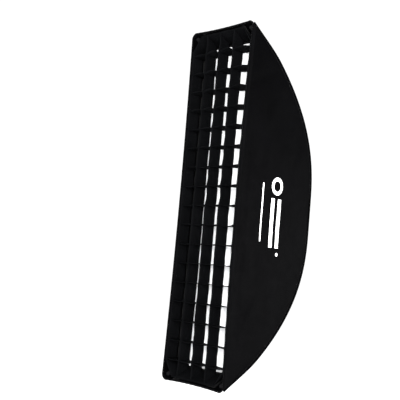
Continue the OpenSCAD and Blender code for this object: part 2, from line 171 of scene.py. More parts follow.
def end_level(z, u, d):
    """A point of the top end panel at height z, d inside its outer face."""
    rc, e, s, y = corner_at(z), end_angle(z), abs(u), back_y(z)
    k = smooth(rc / CORNER_R)
    reach = side_x(z - rc, y) - rc - (FABRIC_T + SEAM_GAP) * (1 - k * k)
    straight, a = bend_of(u)
    round_x = straight * reach + rc * math.sin(a)
    plain_x = s * (reach + rc * math.sin(math.radians(ARC_DEG)))
    x = plain_x + (round_x - plain_x) * k
    turn = a * k
    return Vector((
        math.copysign(x - d * math.sin(turn), u),
        y - d * math.cos(e) * math.cos(turn),
        z - rc * (1 - math.cos(a)) - end_dip(x, z) - d * math.sin(e) * math.cos(turn),
    ))


def end_start(u, r=COLLAR_CLEAR_R):
    """Height at which an end panel starts, on the circle of radius r round the ring."""
    return math.sqrt(max(0.0, r * r - (u * (BACK_HALF_W - FABRIC_T - SEAM_GAP)) ** 2))


# ---- wrinkles ----


def fbm(x, y, seed, octaves=3):
    """Smooth noise of about -1 to 1 over a plane."""
    total, size = 0.0, 1.0
    for k in range(octaves):
        total += size * noise.noise(Vector((x * 2 ** k, y * 2 ** k, seed + 7.3 * k)))
        size *= 0.5
    return total


def crease(y, z, y0, z0, tilt_deg, length, width):
    """Height, 0 to 1, of a soft straight fold through (y0, z0)."""
    c, s = math.cos(math.radians(tilt_deg)), math.sin(math.radians(tilt_deg))
    along = (y - y0) * c + (z - z0) * s
    across = -(y - y0) * s + (z - z0) * c
    across += 0.004 * noise.noise(Vector((along * 18, y0 * 40, z0 * 40)))
    return math.exp(-(across / width) ** 2) * math.exp(-(along / length) ** 4)


# Soft folds in a side panel: depth, height, tilt, half length, half width, height of the fold
SIDE_FOLDS = [
    (-0.262, -0.262, 38, 0.060, 0.0130, -0.0022),
    (-0.245, -0.290, 52, 0.050, 0.0110, 0.0016),
    (-0.120, -0.300, 62, 0.070, 0.0180, -0.0014),
    (-0.230, 0.330, 28, 0.090, 0.0140, -0.0014),
    (-0.190, 0.255, 64, 0.080, 0.0170, 0.0011),
    (-0.090, 0.120, 75, 0.110, 0.0220, -0.0011),
    (-0.276, 0.060, 90, 0.170, 0.0070, -0.0008),
    (-0.262, -0.080, 90, 0.150, 0.0080, 0.0007),
    (-0.060, -0.060, 80, 0.060, 0.0140, 0.0008),
]


def side_wrinkle(y, z, seed):
    """How far a side panel's cloth stands out of its plain shape."""
    to_seam = max(0.0, seam_z(y) - abs(z))
    to_front = y - FRONT_Y
    edge = smooth(min(to_seam * 0.8, to_front) / 0.030)
    broad = 0.0022 * fbm(y * 7, z * 4.5, seed)
    pull = 0.0007 * fbm(y * 16, z * 45, seed + 3, 2) * math.exp(-to_front / 0.09)
    folds = sum(h * crease(y, z, y0, z0, t, l, w) for y0, z0, t, l, w, h in SIDE_FOLDS)
    pucker = 0.00045 * math.sin(z * 2 * math.pi / 0.017 + 3 * noise.noise(Vector((z * 30, seed, 0))))
    near_edge = math.exp(-min(to_seam, to_front) / 0.011) * smooth(min(to_seam, to_front) / 0.004)
    return edge * (broad + pull + folds) + pucker * near_edge


def end_wrinkle(x, z, seed):
    """How far an end panel's cloth stands out of its plain shape."""
    to_seam = max(0.0, side_x(z, back_y(z)) - abs(x))
    to_collar = max(0.0, math.hypot(x, z) - COLLAR_CLEAR_R) if rise(z) < 0.4 else 0.1
    edge = smooth(to_seam / 0.020) * smooth(to_collar / 0.010)
    broad = 0.0022 * fbm(x * 9, z * 6, seed)
    cross = 0.0009 * fbm(x * 5, z * 34, seed + 5, 2)
    angle = math.atan2(z, x)
    gather = 0.0009 * math.sin(angle * 46 + 2 * noise.noise(Vector((angle * 6, seed, 0))))
    pucker = 0.0005 * math.sin(z * 2 * math.pi / 0.016 + 3 * noise.noise(Vector((z * 28, seed, 2))))
    return (edge * (broad + cross)
            + gather * math.exp(-to_collar / 0.016) * smooth(to_seam / 0.012)
            + pucker * math.exp(-to_seam / 0.010) * smooth(to_seam / 0.004))


# ---- mesh helpers ----


def face_outwards(mesh):
    """Turns the faces of closed shapes so that they all look outwards."""
    work = bmesh.new()
    work.from_mesh(mesh)
    bmesh.ops.recalc_face_normals(work, faces=work.faces)
    work.to_mesh(mesh)
    work.free()


def add_piece(name, points, faces, body, material, uvs=None, closed=False):
    """A mesh piece that rides on a body, with one material and, if given, one UV place for each point."""
    mesh = bpy.data.meshes.new(name)
    mesh.from_pydata([tuple(p) for p in points], [], faces)
    mesh.validate()
    if closed:
        face_outwards(mesh)
    mesh.materials.append(material)
    if uvs is not None:
        layer = mesh.uv_layers.new(name="cloth")
        for loop in mesh.loops:
            layer.data[loop.index].uv = uvs[loop.vertex_index]
    mesh.polygons.foreach_set("use_smooth", [True] * len(mesh.polygons))
    piece = bpy.data.objects.new(name, mesh)
    bpy.context.scene.collection.objects.link(piece)
    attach(piece, body)
    return piece


def grid_faces(rows, cols, flip=False, close_rows=False, close_cols=False):
    """Quads over a grid of (rows + 1) by (cols + 1) points, or that wrap round in either direction."""
    wide = cols if close_cols else cols + 1
    tall = rows if close_rows else rows + 1
    faces = []
    for i in range(rows):
        for j in range(cols):
            a, b = i * wide + j, i * wide + (j + 1) % wide
            c, d = ((i + 1) % tall) * wide + (j + 1) % wide, ((i + 1) % tall) * wide + j
            faces.append((d, c, b, a) if flip else (a, b, c, d))
    return faces


def thicken(piece, thickness):
    """Gives a single sheet of cloth its thickness, inwards from its normals."""
    solid = piece.modifiers.new("cloth", "SOLIDIFY")
    solid.thickness = thickness
    solid.offset = -1
    return piece


def cloth_sheet(name, rows, cols, point, uv, body, material, thickness, flip=False):
    """A sheet of cloth over (t, u), each from 0 to 1."""
    places = [(i / rows, j / cols) for i in range(rows + 1) for j in range(cols + 1)]
    points, uvs = [point(t, u) for t, u in places], [uv(t, u) for t, u in places]
    piece = add_piece(name, points, grid_faces(rows, cols, flip), body, material, uvs)
    return thicken(piece, thickness)


def frames_along(path, outward, closed=False):
    """(point, tangent, outward, sideways) at each point of a path."""
    n = len(path)
    out = []
    for i, p in enumerate(path):
        before = path[(i - 1) % n] if closed else path[max(0, i - 1)]
        after = path[(i + 1) % n] if closed else path[min(n - 1, i + 1)]
        tangent = (after - before).normalized()
        o = Vector(outward[i])
        o = (o - tangent * o.dot(tangent)).normalized()
        out.append((p, tangent, o, tangent.cross(o)))
    return out


def sweep(name, path, outward, section, body, material, closed=False):
    """A strip or cord of a fixed section, given as (outward, sideways) points, along a path."""
    frames = frames_along(path, outward, closed)
    around = [0.0]
    for k in range(len(section)):
        a, b = section[k], section[(k + 1) % len(section)]
        around.append(around[-1] + math.hypot(b[0] - a[0], b[1] - a[1]))
    points, uvs, run = [], [], 0.0
    for i, (p, _, o, s) in enumerate(frames):
        if i:
            run += (p - frames[i - 1][0]).length
        for k, (a, b) in enumerate(section):
            points.append(p + o * a + s * b)
            uvs.append((run, around[k]))
    rows = len(path) if closed else len(path) - 1
    faces = grid_faces(rows, len(section), close_rows=closed, close_cols=True)
    if not closed:
        last = (len(path) - 1) * len(section)
        faces.append(tuple(range(len(section)))[::-1])
        faces.append(tuple(range(last, last + len(section))))
    return add_piece(name, points, faces, body, material, uvs, closed=True)


def resample(path, step, closed=False):
    """(point, tangent) pairs spaced evenly along a path."""
    points = list(path) + ([path[0]] if closed else [])
    out, carry = [], 0.0
    for a, b in zip(points, points[1:]):
        span = (b - a).length
        if span < 1e-9:
            continue
        tangent = (b - a) / span
        while carry <= span:
            out.append((a + tangent * carry, tangent))
            carry += step
        carry -= span
    return out


def band_section(wide, thick):
    """The section of a flat band with thinned edges, as (outward, sideways) points."""
    flat, edge = wide / 2 - thick, wide / 2
    half = thick / 2
    return [(half, -flat), (half, flat), (0, edge), (-half, flat), (-half, -flat), (0, -edge)]


def circle(count):
    """Points of the unit circle."""
    return [(math.cos(2 * math.pi * k / count), math.sin(2 * math.pi * k / count)) for k in range(count)]


def all_round(quarter):
    """A closed loop of (x, z) points from the quarter that runs from the +X axis to the +Z axis."""
    top = quarter + [(-x, z) for x, z in quarter[:-1][::-1]]
    return top[:-1] + [(-x, -z) for x, z in top[:-1]]


STITCH_L = 0.0030
STITCH_PITCH = 0.0042
THREAD_R = 0.00038
# (share along a stitch, share of the thread's radius) of each ring of points
STITCH_RINGS = ((-0.5, 0.35), (-0.3, 1.0), (0.0, 1.1), (0.3, 1.0), (0.5, 0.35))
STITCH_SIDES = 5


def stitches(name, runs, body, material):
    """Rows of raised thread. Each run is (path, the surface's normal at a point, whether it is closed)."""
    points, faces = [], []
    for path, normal_at, closed in runs:
        for p, tangent in resample(path, STITCH_PITCH, closed):
            normal = normal_at(p).normalized()
            side = tangent.cross(normal).normalized()
            base = len(points)
            for share, size in STITCH_RINGS:
                lift = THREAD_R * (0.9 - 2.4 * share * share)
                centre = p + tangent * (share * STITCH_L) + normal * lift
                points += [centre + (side * c + normal * s) * THREAD_R * size
                           for c, s in circle(STITCH_SIDES)]
            tube = grid_faces(len(STITCH_RINGS) - 1, STITCH_SIDES, close_cols=True)
            faces += [tuple(base + k for k in face) for face in tube]
    return add_piece(name, points, faces, body, material, closed=True)


def mirrored(point, sx, sz):
    return Vector((point[0] * sx, point[1], point[2] * sz))


# ---- materials ----


class Shader:
    """Builds a node material from short calls."""

    def __init__(self, name):
        self.material = bpy.data.materials.new(name)
        self.material.use_nodes = True
        self.tree = self.material.node_tree
        self.bsdf = self.tree.nodes["Principled BSDF"]
        self.places = self.tree.nodes.new("ShaderNodeTexCoord")

    def node(self, kind, **settings):
        made = self.tree.nodes.new(kind)
        for key, value in settings.items():
            if hasattr(made, key):
                setattr(made, key, value)
            else:
                made.inputs[key.replace("_", " ")].default_value = value
        return made

    def link(self, out, socket):
        self.tree.links.new(out, socket)

    def maths(self, operation, a, b=None):
        made = self.node("ShaderNodeMath", operation=operation)
        for k, value in enumerate((a, b)):
            if value is None:
                continue
            if isinstance(value, (int, float)):
                made.inputs[k].default_value = value
            else:
                self.link(value, made.inputs[k])
        return made.outputs[0]

    def noise(self, coords, scale, detail=3.0, stretch=(1, 1, 1)):
        spread = self.node("ShaderNodeMapping")
        spread.inputs["Scale"].default_value = stretch
        self.link(coords, spread.inputs["Vector"])
        made = self.node("ShaderNodeTexNoise", Scale=scale, Detail=detail)
        self.link(spread.outputs[0], made.inputs["Vector"])
        return made.outputs["Fac"]

    def wave(self, coords, pitch, direction):
        made = self.node("ShaderNodeTexWave", wave_type="BANDS", bands_direction=direction)
        made.inputs["Scale"].default_value = 0.314 / pitch
        self.link(coords, made.inputs["Vector"])
        return made.outputs["Fac"]

    def ramp(self, value, stops):
        made = self.node("ShaderNodeValToRGB")
        for k, (place, color) in enumerate(stops):
            stop = made.color_ramp.elements[k] if k < 2 else made.color_ramp.elements.new(place)
            stop.position = place
            stop.color = (*color, 1)
        self.link(value, made.inputs["Fac"])
        return made.outputs["Color"]

    def bump(self, height, strength, distance, below=None):
        made = self.node("ShaderNodeBump", Strength=strength, Distance=distance)
        self.link(height, made.inputs["Height"])
        if below is not None:
            self.link(below, made.inputs["Normal"])
        return made.outputs[0]

    def set(self, **values):
        for key, value in values.items():
            self.bsdf.inputs[key.replace("_", " ")].default_value = value


def shades(color, spread):
    """Stops of a ramp from a darker to a lighter shade of a colour."""
    return [(0.3, tuple(c * (1 - spread) for c in color)), (0.7, tuple(c * (1 + spread) for c in color))]


def cloth_material(name, color, pitch, roughness, weave=0.35, crinkle=0.25, spread=0.25, sheen=0.0,
                   specular=0.003, coords="UV"):
    """Woven cloth: two crossed sets of threads, fine crinkles, and shade and gloss that vary a little."""
    s = Shader(name)
    where = s.places.outputs[coords]
    warp, weft = s.wave(where, pitch, "X"), s.wave(where, pitch, "Y")
    threads = s.maths("MAXIMUM", s.maths("MULTIPLY", warp, 0.9), weft)
    fine = s.bump(threads, weave, 0.0002)
    rough_cloth = s.noise(where, 26, 5.0)
    s.link(s.bump(rough_cloth, crinkle, 0.004, fine), s.bsdf.inputs["Normal"])
    fibres = s.maths("ADD", s.noise(where, 9, 4.0), s.maths("MULTIPLY", s.noise(where, 900, 2.0), 0.25))
    s.link(s.ramp(s.maths("SUBTRACT", fibres, 0.12), shades(color, spread)), s.bsdf.inputs["Base Color"])
    gloss = s.maths("ADD", s.maths("MULTIPLY", s.noise(where, 40, 3.0), 0.2), roughness - 0.1)
    s.link(gloss, s.bsdf.inputs["Roughness"])
    s.set(Sheen_Weight=sheen, Sheen_Roughness=0.5, Specular_IOR_Level=specular)
    return s.material


def pile_material(name, color):
    """Hook-and-loop tape: a dense, matt pile."""
    s = Shader(name)
    where = s.places.outputs["Object"]
    tufts = s.node("ShaderNodeTexVoronoi", Scale=900.0)
    s.link(where, tufts.inputs["Vector"])
    pile = s.maths("ADD", tufts.outputs["Distance"], s.noise(where, 1600, 2.0))
    s.link(s.bump(pile, 0.8, 0.0005), s.bsdf.inputs["Normal"])
    s.link(s.ramp(s.noise(where, 300, 3.0), shades(color, 0.4)), s.bsdf.inputs["Base Color"])
    s.set(Roughness=0.95, Sheen_Weight=0.03, Sheen_Roughness=0.6, Specular_IOR_Level=0.03)
    return s.material


def metal_material(name, color, roughness, metallic=1.0, grain=0.3, specular=0.5):
    """Turned or drawn metal, with fine tool marks, dull patches and small pits."""
    s = Shader(name)
    where = s.places.outputs["Object"]
    lines = s.noise(where, 500, 2.0, (0.15, 3.0, 0.15))
    pits = s.noise(where, 1500, 3.0)
    s.link(s.bump(pits, 0.15, 0.0002, s.bump(lines, grain, 0.0002)), s.bsdf.inputs["Normal"])
    patches = s.noise(where, 45, 5.0)
    s.link(s.ramp(patches, shades(color, 0.12)), s.bsdf.inputs["Base Color"])
    dull = s.maths("ADD", s.maths("MULTIPLY", patches, 0.25), roughness - 0.12)
    s.link(dull, s.bsdf.inputs["Roughness"])
    s.set(Metallic=metallic, Specular_IOR_Level=specular)
    return s.material


def plastic_material(name, color, roughness):
    """Moulded plastic with a fine spark-eroded texture."""
    s = Shader(name)
    where = s.places.outputs["Object"]
    s.link(s.bump(s.noise(where, 1800, 3.0), 0.3, 0.0002), s.bsdf.inputs["Normal"])
    s.link(s.ramp(s.noise(where, 60, 4.0), shades(color, 0.15)), s.bsdf.inputs["Base Color"])
    s.link(s.maths("ADD", s.maths("MULTIPLY", s.noise(where, 90, 3.0), 0.2), roughness - 0.1),
           s.bsdf.inputs["Roughness"])
    s.set(Specular_IOR_Level=0.4)
    return s.material


def silver_material():
    """Silvered lining: bright, crinkled and backed by a coarse weave; the crinkles' shade is painted into its
    colour, darker in their hollows.
    """
    s = Shader("silver_lining")
    where = s.places.outputs["UV"]
    weave = s.maths("MULTIPLY", s.wave(where, 0.0022, "DIAGONAL"), s.wave(where, 0.0022, "X"))
    crumple = s.noise(where, 60, 6.0)
    s.link(s.bump(crumple, 0.6, 0.003, s.bump(weave, 0.5, 0.0004)), s.bsdf.inputs["Normal"])
    # Painted shade: the colour follows the crinkles, darker in their hollows and lighter on their ridges.
    silver = [(0.3, (0.62, 0.63, 0.65)), (0.7, (0.82, 0.83, 0.85))]
    s.link(s.ramp(crumple, silver), s.bsdf.inputs["Base Color"])
    dull = s.maths("ADD", s.maths("MULTIPLY", s.noise(where, 30, 3.0), 0.25), 0.22)
    s.link(dull, s.bsdf.inputs["Roughness"])
    s.set(Metallic=0.85)
    return s.material


def diffuser_material():
    """White diffusion cloth, with faint wrinkles along its length and a fine weave; the wrinkles' shade is
    painted into its colour as grey streaks.
    """
    s = Shader("diffuser_cloth")
    where = s.places.outputs["UV"]
    streaks = s.noise(where, 30, 4.0, (3.2, 0.22, 1))
    warp, weft = s.wave(where, 0.0007, "X"), s.wave(where, 0.0007, "Y")
    threads = s.bump(s.maths("MAXIMUM", warp, weft), 0.2, 0.0002)
    s.link(s.bump(streaks, 0.35, 0.003, threads), s.bsdf.inputs["Normal"])
    # Painted shade: the same streaks that bump the cloth also grey its colour in the wrinkles' hollows.
    whites = [(0.3, (0.80, 0.81, 0.83)), (0.62, (0.96, 0.96, 0.96))]
    s.link(s.ramp(streaks, whites), s.bsdf.inputs["Base Color"])
    s.set(Roughness=0.85, Specular_IOR_Level=0.2, Sheen_Weight=0.1, Subsurface_Weight=0.15)
    s.set(Subsurface_Radius=(0.004, 0.004, 0.004))
    return s.material


def print_material():
    """White screen-printed ink that shows the cloth's weave."""
    s = Shader("white_ink")
    where = s.places.outputs["UV"]
    threads = s.maths("MAXIMUM", s.wave(where, 0.0007, "X"), s.wave(where, 0.0007, "Y"))
    s.link(s.bump(threads, 0.3, 0.0002), s.bsdf.inputs["Normal"])
    whites = [(0.25, (0.82, 0.82, 0.82)), (0.5, (0.92, 0.92, 0.92))]
    s.link(s.ramp(s.noise(where, 500, 3.0), whites), s.bsdf.inputs["Base Color"])
    s.set(Roughness=0.6)
    return s.material


NYLON = cloth_material("black_nylon", (0.0008, 0.0008, 0.00095), 0.0007, 0.5)
BINDING = cloth_material("black_binding", (0.0016, 0.0016, 0.0018), 0.0011, 0.7, weave=0.6, crinkle=0.1)
GRID_CLOTH = cloth_material("grid_nylon", (0.0024, 0.0025, 0.0028), 0.0006, 0.6)
WEBBING = cloth_material("black_webbing", (0.006, 0.006, 0.0065), 0.0016, 0.75, weave=0.8, crinkle=0.1)
THREAD = cloth_material("black_thread", (0.007, 0.007, 0.0075), 0.0008, 0.5, sheen=0.05, coords="Object")
ELASTIC = cloth_material("white_elastic", (0.78, 0.78, 0.76), 0.0016, 0.8, weave=0.8, spread=0.06)
PILE = pile_material("hook_and_loop", (0.004, 0.004, 0.0043))
DIFFUSER = diffuser_material()
SILVER = silver_material()
INK = print_material()
ALUMINIUM = metal_material("turned_aluminium", (0.40, 0.41, 0.43), 0.34)
BLACK_METAL = metal_material("black_enamel", (0.010, 0.010, 0.011), 0.5, metallic=0.0, grain=0.15,
                             specular=0.12)
SCREW_METAL = metal_material("blackened_steel", (0.06, 0.06, 0.065), 0.4)
SOCKET_METAL = metal_material("plated_steel", (0.30, 0.30, 0.32), 0.36)
ROD_METAL = metal_material("spring_steel", (0.34, 0.35, 0.37), 0.32)
CAP_PLASTIC = plastic_material("cap_plastic", (0.03, 0.03, 0.03), 0.55)


# ---- fabric shell ----

SIDE_SEED = 11
END_SEED = 21


def side_pattern_area(y):
    """Area of the D-shaped cut between the back of the shell and a depth, laid flat."""
    d = APEX_Y - y
    curved = (HALF_L - FLAT_Z) * SHELL_D * BOW_POWER / (BOW_POWER + 1)
    return 2 * (FLAT_Z * d + curved * (d / SHELL_D) ** ((BOW_POWER + 1) / BOW_POWER))


def arc_between(a, b):
    """Length along an end panel between two heights."""
    steps = [a + (b - a) * k / 24 for k in range(25)]
    return sum(math.hypot(q - p, back_y(q) - back_y(p)) for p, q in zip(steps, steps[1:]))


def end_pattern_area(start, z_end, inset):
    """Area of an end panel's cut laid flat, from the height start(u) to z_end and inset from its seams."""
    cells, total = 40, 0.0
    for j in range(cells):
        z0 = start((2 * j + 1) / cells - 1)
        for k in range(cells):
            a, b = z0 + (z_end - z0) * k / cells, z0 + (z_end - z0) * (k + 1) / cells
            total += (seam_x((a + b) / 2) - inset) * 2 / cells * math.hypot(b - a, back_y(b) - back_y(a))
    return total


def make_side_panel(side, sign):
    node = f"side_panel_{side}"
    seed = SIDE_SEED + sign

    def point(t, u):
        p = side_level(level_height(t), 2 * u - 1, 0)
        p.x += side_wrinkle(p.y, p.z, seed)
        return mirrored(p, sign, 1)

    def uv(t, u):
        p = side_level(level_height(t), 2 * u - 1, 0)
        return p.y, p.z

    piece = cloth_sheet(f"cloth_{node}", 110, 220, point, uv, "softbox", NYLON, FABRIC_T,
                        flip=sign < 0)
    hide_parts(node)
    side_pattern_area(back_y(level_height(1)))


def make_side_lining(side, sign):
    """The silver lining of a side panel: it follows the panel's folds, with fine ones of its own."""
    node = f"lining_{side}"
    depth = FABRIC_T + LINING_GAP
    inset = FABRIC_T + END_LINING_GAP + LINING_T + 0.0005
    last = rise(seam_z(LINING_FRONT_Y))

    def place(t, u):
        zh, w = level_height(t, LINING_FIRST, last), 2 * u - 1
        p, e = side_level(zh, w, depth), end_angle(zh)
        return p + Vector((0, -inset * math.cos(e), -w * inset * math.sin(e)))

    def point(t, u):
        p = place(t, u)
        crumple = 0.0004 * fbm(p.y * 40, p.z * 30, 31 + sign) - 0.0006
        p.x += side_wrinkle(p.y, p.z, SIDE_SEED + sign) + crumple
        return mirrored(p, sign, 1)

    def uv(t, u):
        p = place(t, u)
        return p.y, p.z

    piece = cloth_sheet(f"cloth_{node}", 60, 120, point, uv, "softbox", SILVER, LINING_T,
                        flip=sign < 0)
    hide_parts(node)
    y_back = back_y(level_height(0, LINING_FIRST))


def end_height(t, u, r):
    z0 = end_start(u, r)
    return z0 + (FLAT_Z + (HALF_L - FLAT_Z) * PANEL_END - z0) * t


def arc_length(t, u):
    """Length along an end panel, for its cloth's weave."""
    z = end_height(t, u, COLLAR_CLEAR_R)
    steps = [z * k / 12 for k in range(13)]
    return sum(math.hypot(b - a, back_y(b) - back_y(a)) for a, b in zip(steps, steps[1:]))


def make_end_panel(end, sign):
    node = f"end_panel_{end}"

    def point(t, u):
        w = 2 * u - 1
        z = end_height(t, w, COLLAR_MEET_R)
        p = end_level(z, w, 0)
        e = end_angle(z)
        out = end_wrinkle(p.x, z, END_SEED + sign)
        return mirrored(p + Vector((0, math.cos(e), math.sin(e))) * out, 1, sign)

    def uv(t, u):
        return end_level(end_height(t, 2 * u - 1, COLLAR_CLEAR_R), 2 * u - 1, 0).x, arc_length(t, 2 * u - 1)

    piece = cloth_sheet(f"cloth_{node}", 150, 60, point, uv, "softbox", NYLON, FABRIC_T,
                        flip=sign > 0)
    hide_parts(node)
    area = end_pattern_area(lambda u: end_start(u, COLLAR_MEET_R), level_height(1), FABRIC_T + SEAM_GAP)
    arc_between(0, level_height(1))


def make_end_lining(end, sign):
    node = f"lining_{end}"
    depth = FABRIC_T + END_LINING_GAP
    inset = 0.004
    z_end = seam_z(LINING_FRONT_Y)

    def start(u):
        return 0.008 + end_start(u, COLLAR_CLEAR_R + 0.014)

    def place(t, u):
        w = 2 * u - 1
        z = start(w) + (z_end - start(w)) * t
        plain = end_level(z, w, depth)
        crumple = 0.0004 * fbm(w * 4, z * 30, 41 + sign) + 0.0006
        return w, z, end_level(z, w, depth + crumple - end_wrinkle(plain.x, z, END_SEED + sign))

    def point(t, u):
        w, _, p = place(t, u)
        return mirrored(Vector((p.x - w * inset, p.y, p.z)), 1, sign)

    def uv(t, u):
        _, z, p = place(t, u)
        return p.x, z * 1.2

    piece = cloth_sheet(f"cloth_{node}", 90, 40, point, uv, "softbox", SILVER, LINING_T,
                        flip=sign > 0)
    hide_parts(node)
    2 * (seam_x(z_end) - inset)
    arc_between(start(1), z_end)
    end_pattern_area(start, z_end, inset)


# ---- seams and hem ----

PIPING_R = 0.0017
PIPING_FROM = -0.0001
PIPING_PROUD = 0.0003
WELT_T = 0.0009
WELT_L = 0.0045


def seam_frame(t):
    """(centre of the piping, outward direction) along the upper right seam."""
    z = PIPING_FROM + (level_height(1) - PIPING_FROM) * t
    rc, e, y = corner_at(z), end_angle(z), back_y(z)
    cut = rc * (1 - math.cos(math.radians(45)))
    outward = Vector((0.75, 0.66 * math.cos(e), 0.66 * math.sin(e)))
    base = Vector((side_x(z - rc, y) - cut, y, z - cut))
    return base + outward * (PIPING_R + PIPING_PROUD), outward


def piping_section():
    """A round cord and the flat welt that is sewn between the two panels."""
    half = math.asin(WELT_T / 2 / PIPING_R)
    steps = 12
    angles = [math.pi - half - 2 * (math.pi - half) * k / steps for k in range(steps + 1)]
    cord = [(math.cos(a) * PIPING_R, math.sin(a) * PIPING_R) for a in angles]
    tail = -PIPING_R - WELT_L
    return cord + [(tail, -WELT_T / 2), (tail, WELT_T / 2)]


def make_piping(quarter, sx, sz):
    count = 130
    places = [seam_frame(k / count) for k in range(count + 1)]
    path = [mirrored(p, sx, sz) for p, _ in places]
    outward = [mirrored(o, sx, sz) for _, o in places]
    section = piping_section()
    if sx * sz > 0:
        section = section[::-1]
    piece = sweep(f"piping_cord_{quarter}", path, outward, section, "softbox", BINDING)
    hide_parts(f"piping_{quarter}")


def outline_path(d, y):
    """The front's outline, d inside it, once round at a depth."""
    long_steps, arc_steps, end_steps = 40, 10, 12
    cx = front_x(HALF_L - CORNER_R) - CORNER_R
    cz = front_z(HALF_W - CORNER_R) - CORNER_R
    r = CORNER_R - d
    turns = [math.pi / 2 * k / arc_steps for k in range(arc_steps + 1)]
    quarter = [(front_x(cz * k / long_steps) - d, cz * k / long_steps) for k in range(long_steps)]
    quarter += [(cx + r * math.cos(a), cz + r * math.sin(a)) for a in turns]
    quarter += [(cx * k / end_steps, front_z(cx * k / end_steps) - d) for k in range(end_steps)][::-1]
    return [Vector((x, y, z)) for x, z in all_round(quarter)]


HEM_W = 0.004
HEM_LEG = 0.011
HEM_PROUD = 0.0007
HEM_FOLD_R = 0.0016
# (outward, depth behind the front face, whether it follows the shell) round the folded tape
HEM_PROFILE = [
    (HEM_PROUD, HEM_LEG, True),
    (HEM_PROUD, HEM_FOLD_R, True),
    (HEM_PROUD - 0.35 * HEM_FOLD_R, 0.35 * HEM_FOLD_R, True),
    (HEM_PROUD - HEM_FOLD_R, 0.0004, True),
    (-HEM_W * 0.5, 0.0001, False),
    (-HEM_W + HEM_FOLD_R, 0.0004, False),
    (-HEM_W + 0.3 * HEM_FOLD_R, 0.4 * HEM_FOLD_R, False),
    (-HEM_W, HEM_FOLD_R, False),
    (-HEM_W, 0.0042, False),
    (-0.0030, 0.0062, True),
    (-0.0016, 0.0064, True),
    (-0.0002, HEM_LEG, True),
]


def behind_front(p, depth):
    """The place on the shell that lies behind a point of the front's outline."""
    y = FRONT_Y + depth
    z = p.z * seam_z(y) / HALF_L
    return Vector((p.x * side_x(z, y) / front_x(p.z), y, z))


def make_hem():
    """Binding tape folded round the front edge, with a leg that runs back outside the panels."""
    path = outline_path(0, FRONT_Y)
    n = len(path)
    outward = []
    for i, p in enumerate(path):
        t = path[(i + 1) % n] - path[i - 1]
        outward.append(Vector((t.z, 0, -t.x)))
    frames = frames_along(path, outward, closed=True)
    points, uvs, run = [], [], 0.0
    for i, (p, _, o, _) in enumerate(frames):
        if i:
            run += (p - frames[i - 1][0]).length
        ripple = 0.00025 * math.sin(run * 2 * math.pi / 0.019 + 3 * noise.noise(Vector((run * 25, 0, 0))))
        for k, (a, b, follows) in enumerate(HEM_PROFILE):
            base = behind_front(p, b) if follows else p + Vector((0, b, 0))
            points.append(base + o * (a + ripple * (a > -0.002)) + Vector((0, 0.5 * ripple, 0)))
            uvs.append((run, k * 0.0016))
    faces = grid_faces(n, len(HEM_PROFILE), close_rows=True, close_cols=True)
    piece = add_piece("hem_binding", points, faces, "softbox", BINDING, uvs, closed=True)
    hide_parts("front_hem")


STITCHED = 150
SEAM_INSET = 0.0035
END_SEAM_AT = 0.955
# (first share of the height, share covered) of the stitches on the side and the end panels
SIDE_SEAM_RUN = (0.03, 0.955)
END_SEAM_RUN = (0.02, 0.965)


def seam_shares(first, covered):
    return [first + covered * k / (STITCHED - 1) for k in range(STITCHED)]


def side_seam(sign, sz):
    """The line of stitches beside one seam of a side panel."""
    path = []
    for share in seam_shares(*SIDE_SEAM_RUN):
        z = level_height(share)
        p = side_level(z, 1 - SEAM_INSET / max(0.05, z), 0)
        p.y -= 0.0030 * math.cos(end_angle(z))
        p.x += side_wrinkle(p.y, p.z, SIDE_SEED + sign)
        path.append(mirrored(p, sign, sz))
    return path


def end_seam(sx, sz):
    """The line of stitches beside one seam of an end panel."""
    heights = [end_height(share, END_SEAM_AT, COLLAR_CLEAR_R) for share in seam_shares(*END_SEAM_RUN)]
    return [mirrored(end_level(z, END_SEAM_AT, 0), sx, sz) for z in heights]


def make_stitching():
    """Top-stitching along the seams and round the hem."""
    for side, sign in SIDES.items():
        def sideways(p, sign=sign):
            return Vector((sign, 0, 0))

        runs = [(side_seam(sign, sz), sideways, False) for sz in ENDS.values()]
        stitches(f"stitching_side_{side}", runs, "softbox", THREAD)
    for end, sz in ENDS.items():
        def up(p, sz=sz):
            return Vector((0, math.cos(end_angle(p.z)), sz * math.sin(end_angle(p.z))))

        runs = [(end_seam(sx, sz), up, False) for sx in SIDES.values()]
        stitches(f"stitching_end_{end}", runs, "softbox", THREAD)
    hem = outline_path(HEM_W * 0.72, FRONT_Y + 0.0003)
    stitches("stitching_hem", [(hem, lambda p: Vector((0, -1, 0)), True)], "softbox", THREAD)


# ---- grid ----

ROWS = 18
GRID_DEPTH = 0.038
STRIP_T = 0.0015
GRID_FRONT_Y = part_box("grid_border")[0].y
GRID_BACK_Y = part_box("grid_border")[1].y
END_FRONT_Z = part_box("grid_border")[1].z
END_BACK_Z = seam_z(GRID_BACK_Y) - 0.009
GRID_CLEAR = 0.0063
WALL_END_Z = 0.402
END_WALL_HALF_W = 0.075
ROW_DROP = 0.005
# How far the front edges of the upper rows arch upwards, and from what height on
ROW_LIFT = 0.0062
LIFT_FROM = 0.02
LIFT_OVER = 0.26
TOP_LIFT = {1: 0.0035, 2: 0.0035}   # more in the top row, by column
PITCH = 2 * (END_FRONT_Z - STRIP_T) / ROWS
LONG_STRIPS = {"grid_strip_left": -0.535, "grid_strip_centre": -0.08, "grid_strip_right": 0.42}
LINES = (-1, *LONG_STRIPS.values(), 1)


def strip_x(k, z):
    return k * (front_x(z) - GRID_CLEAR - STRIP_T / 2)


def cell_wave(z):
    """0 at each cross strip and 1 midway between two of them."""
    return abs(math.sin(math.pi * ((z + ROW_DROP) / PITCH + ROWS / 2)))


def column_at(share):
    """(number of the column, place across it from 0 to 1) for a share of the grid's half width."""
    column = max(k for k in range(len(LINES) - 1) if share >= LINES[k] or k == 0)
    return column, (share - LINES[column]) / (LINES[column + 1] - LINES[column])


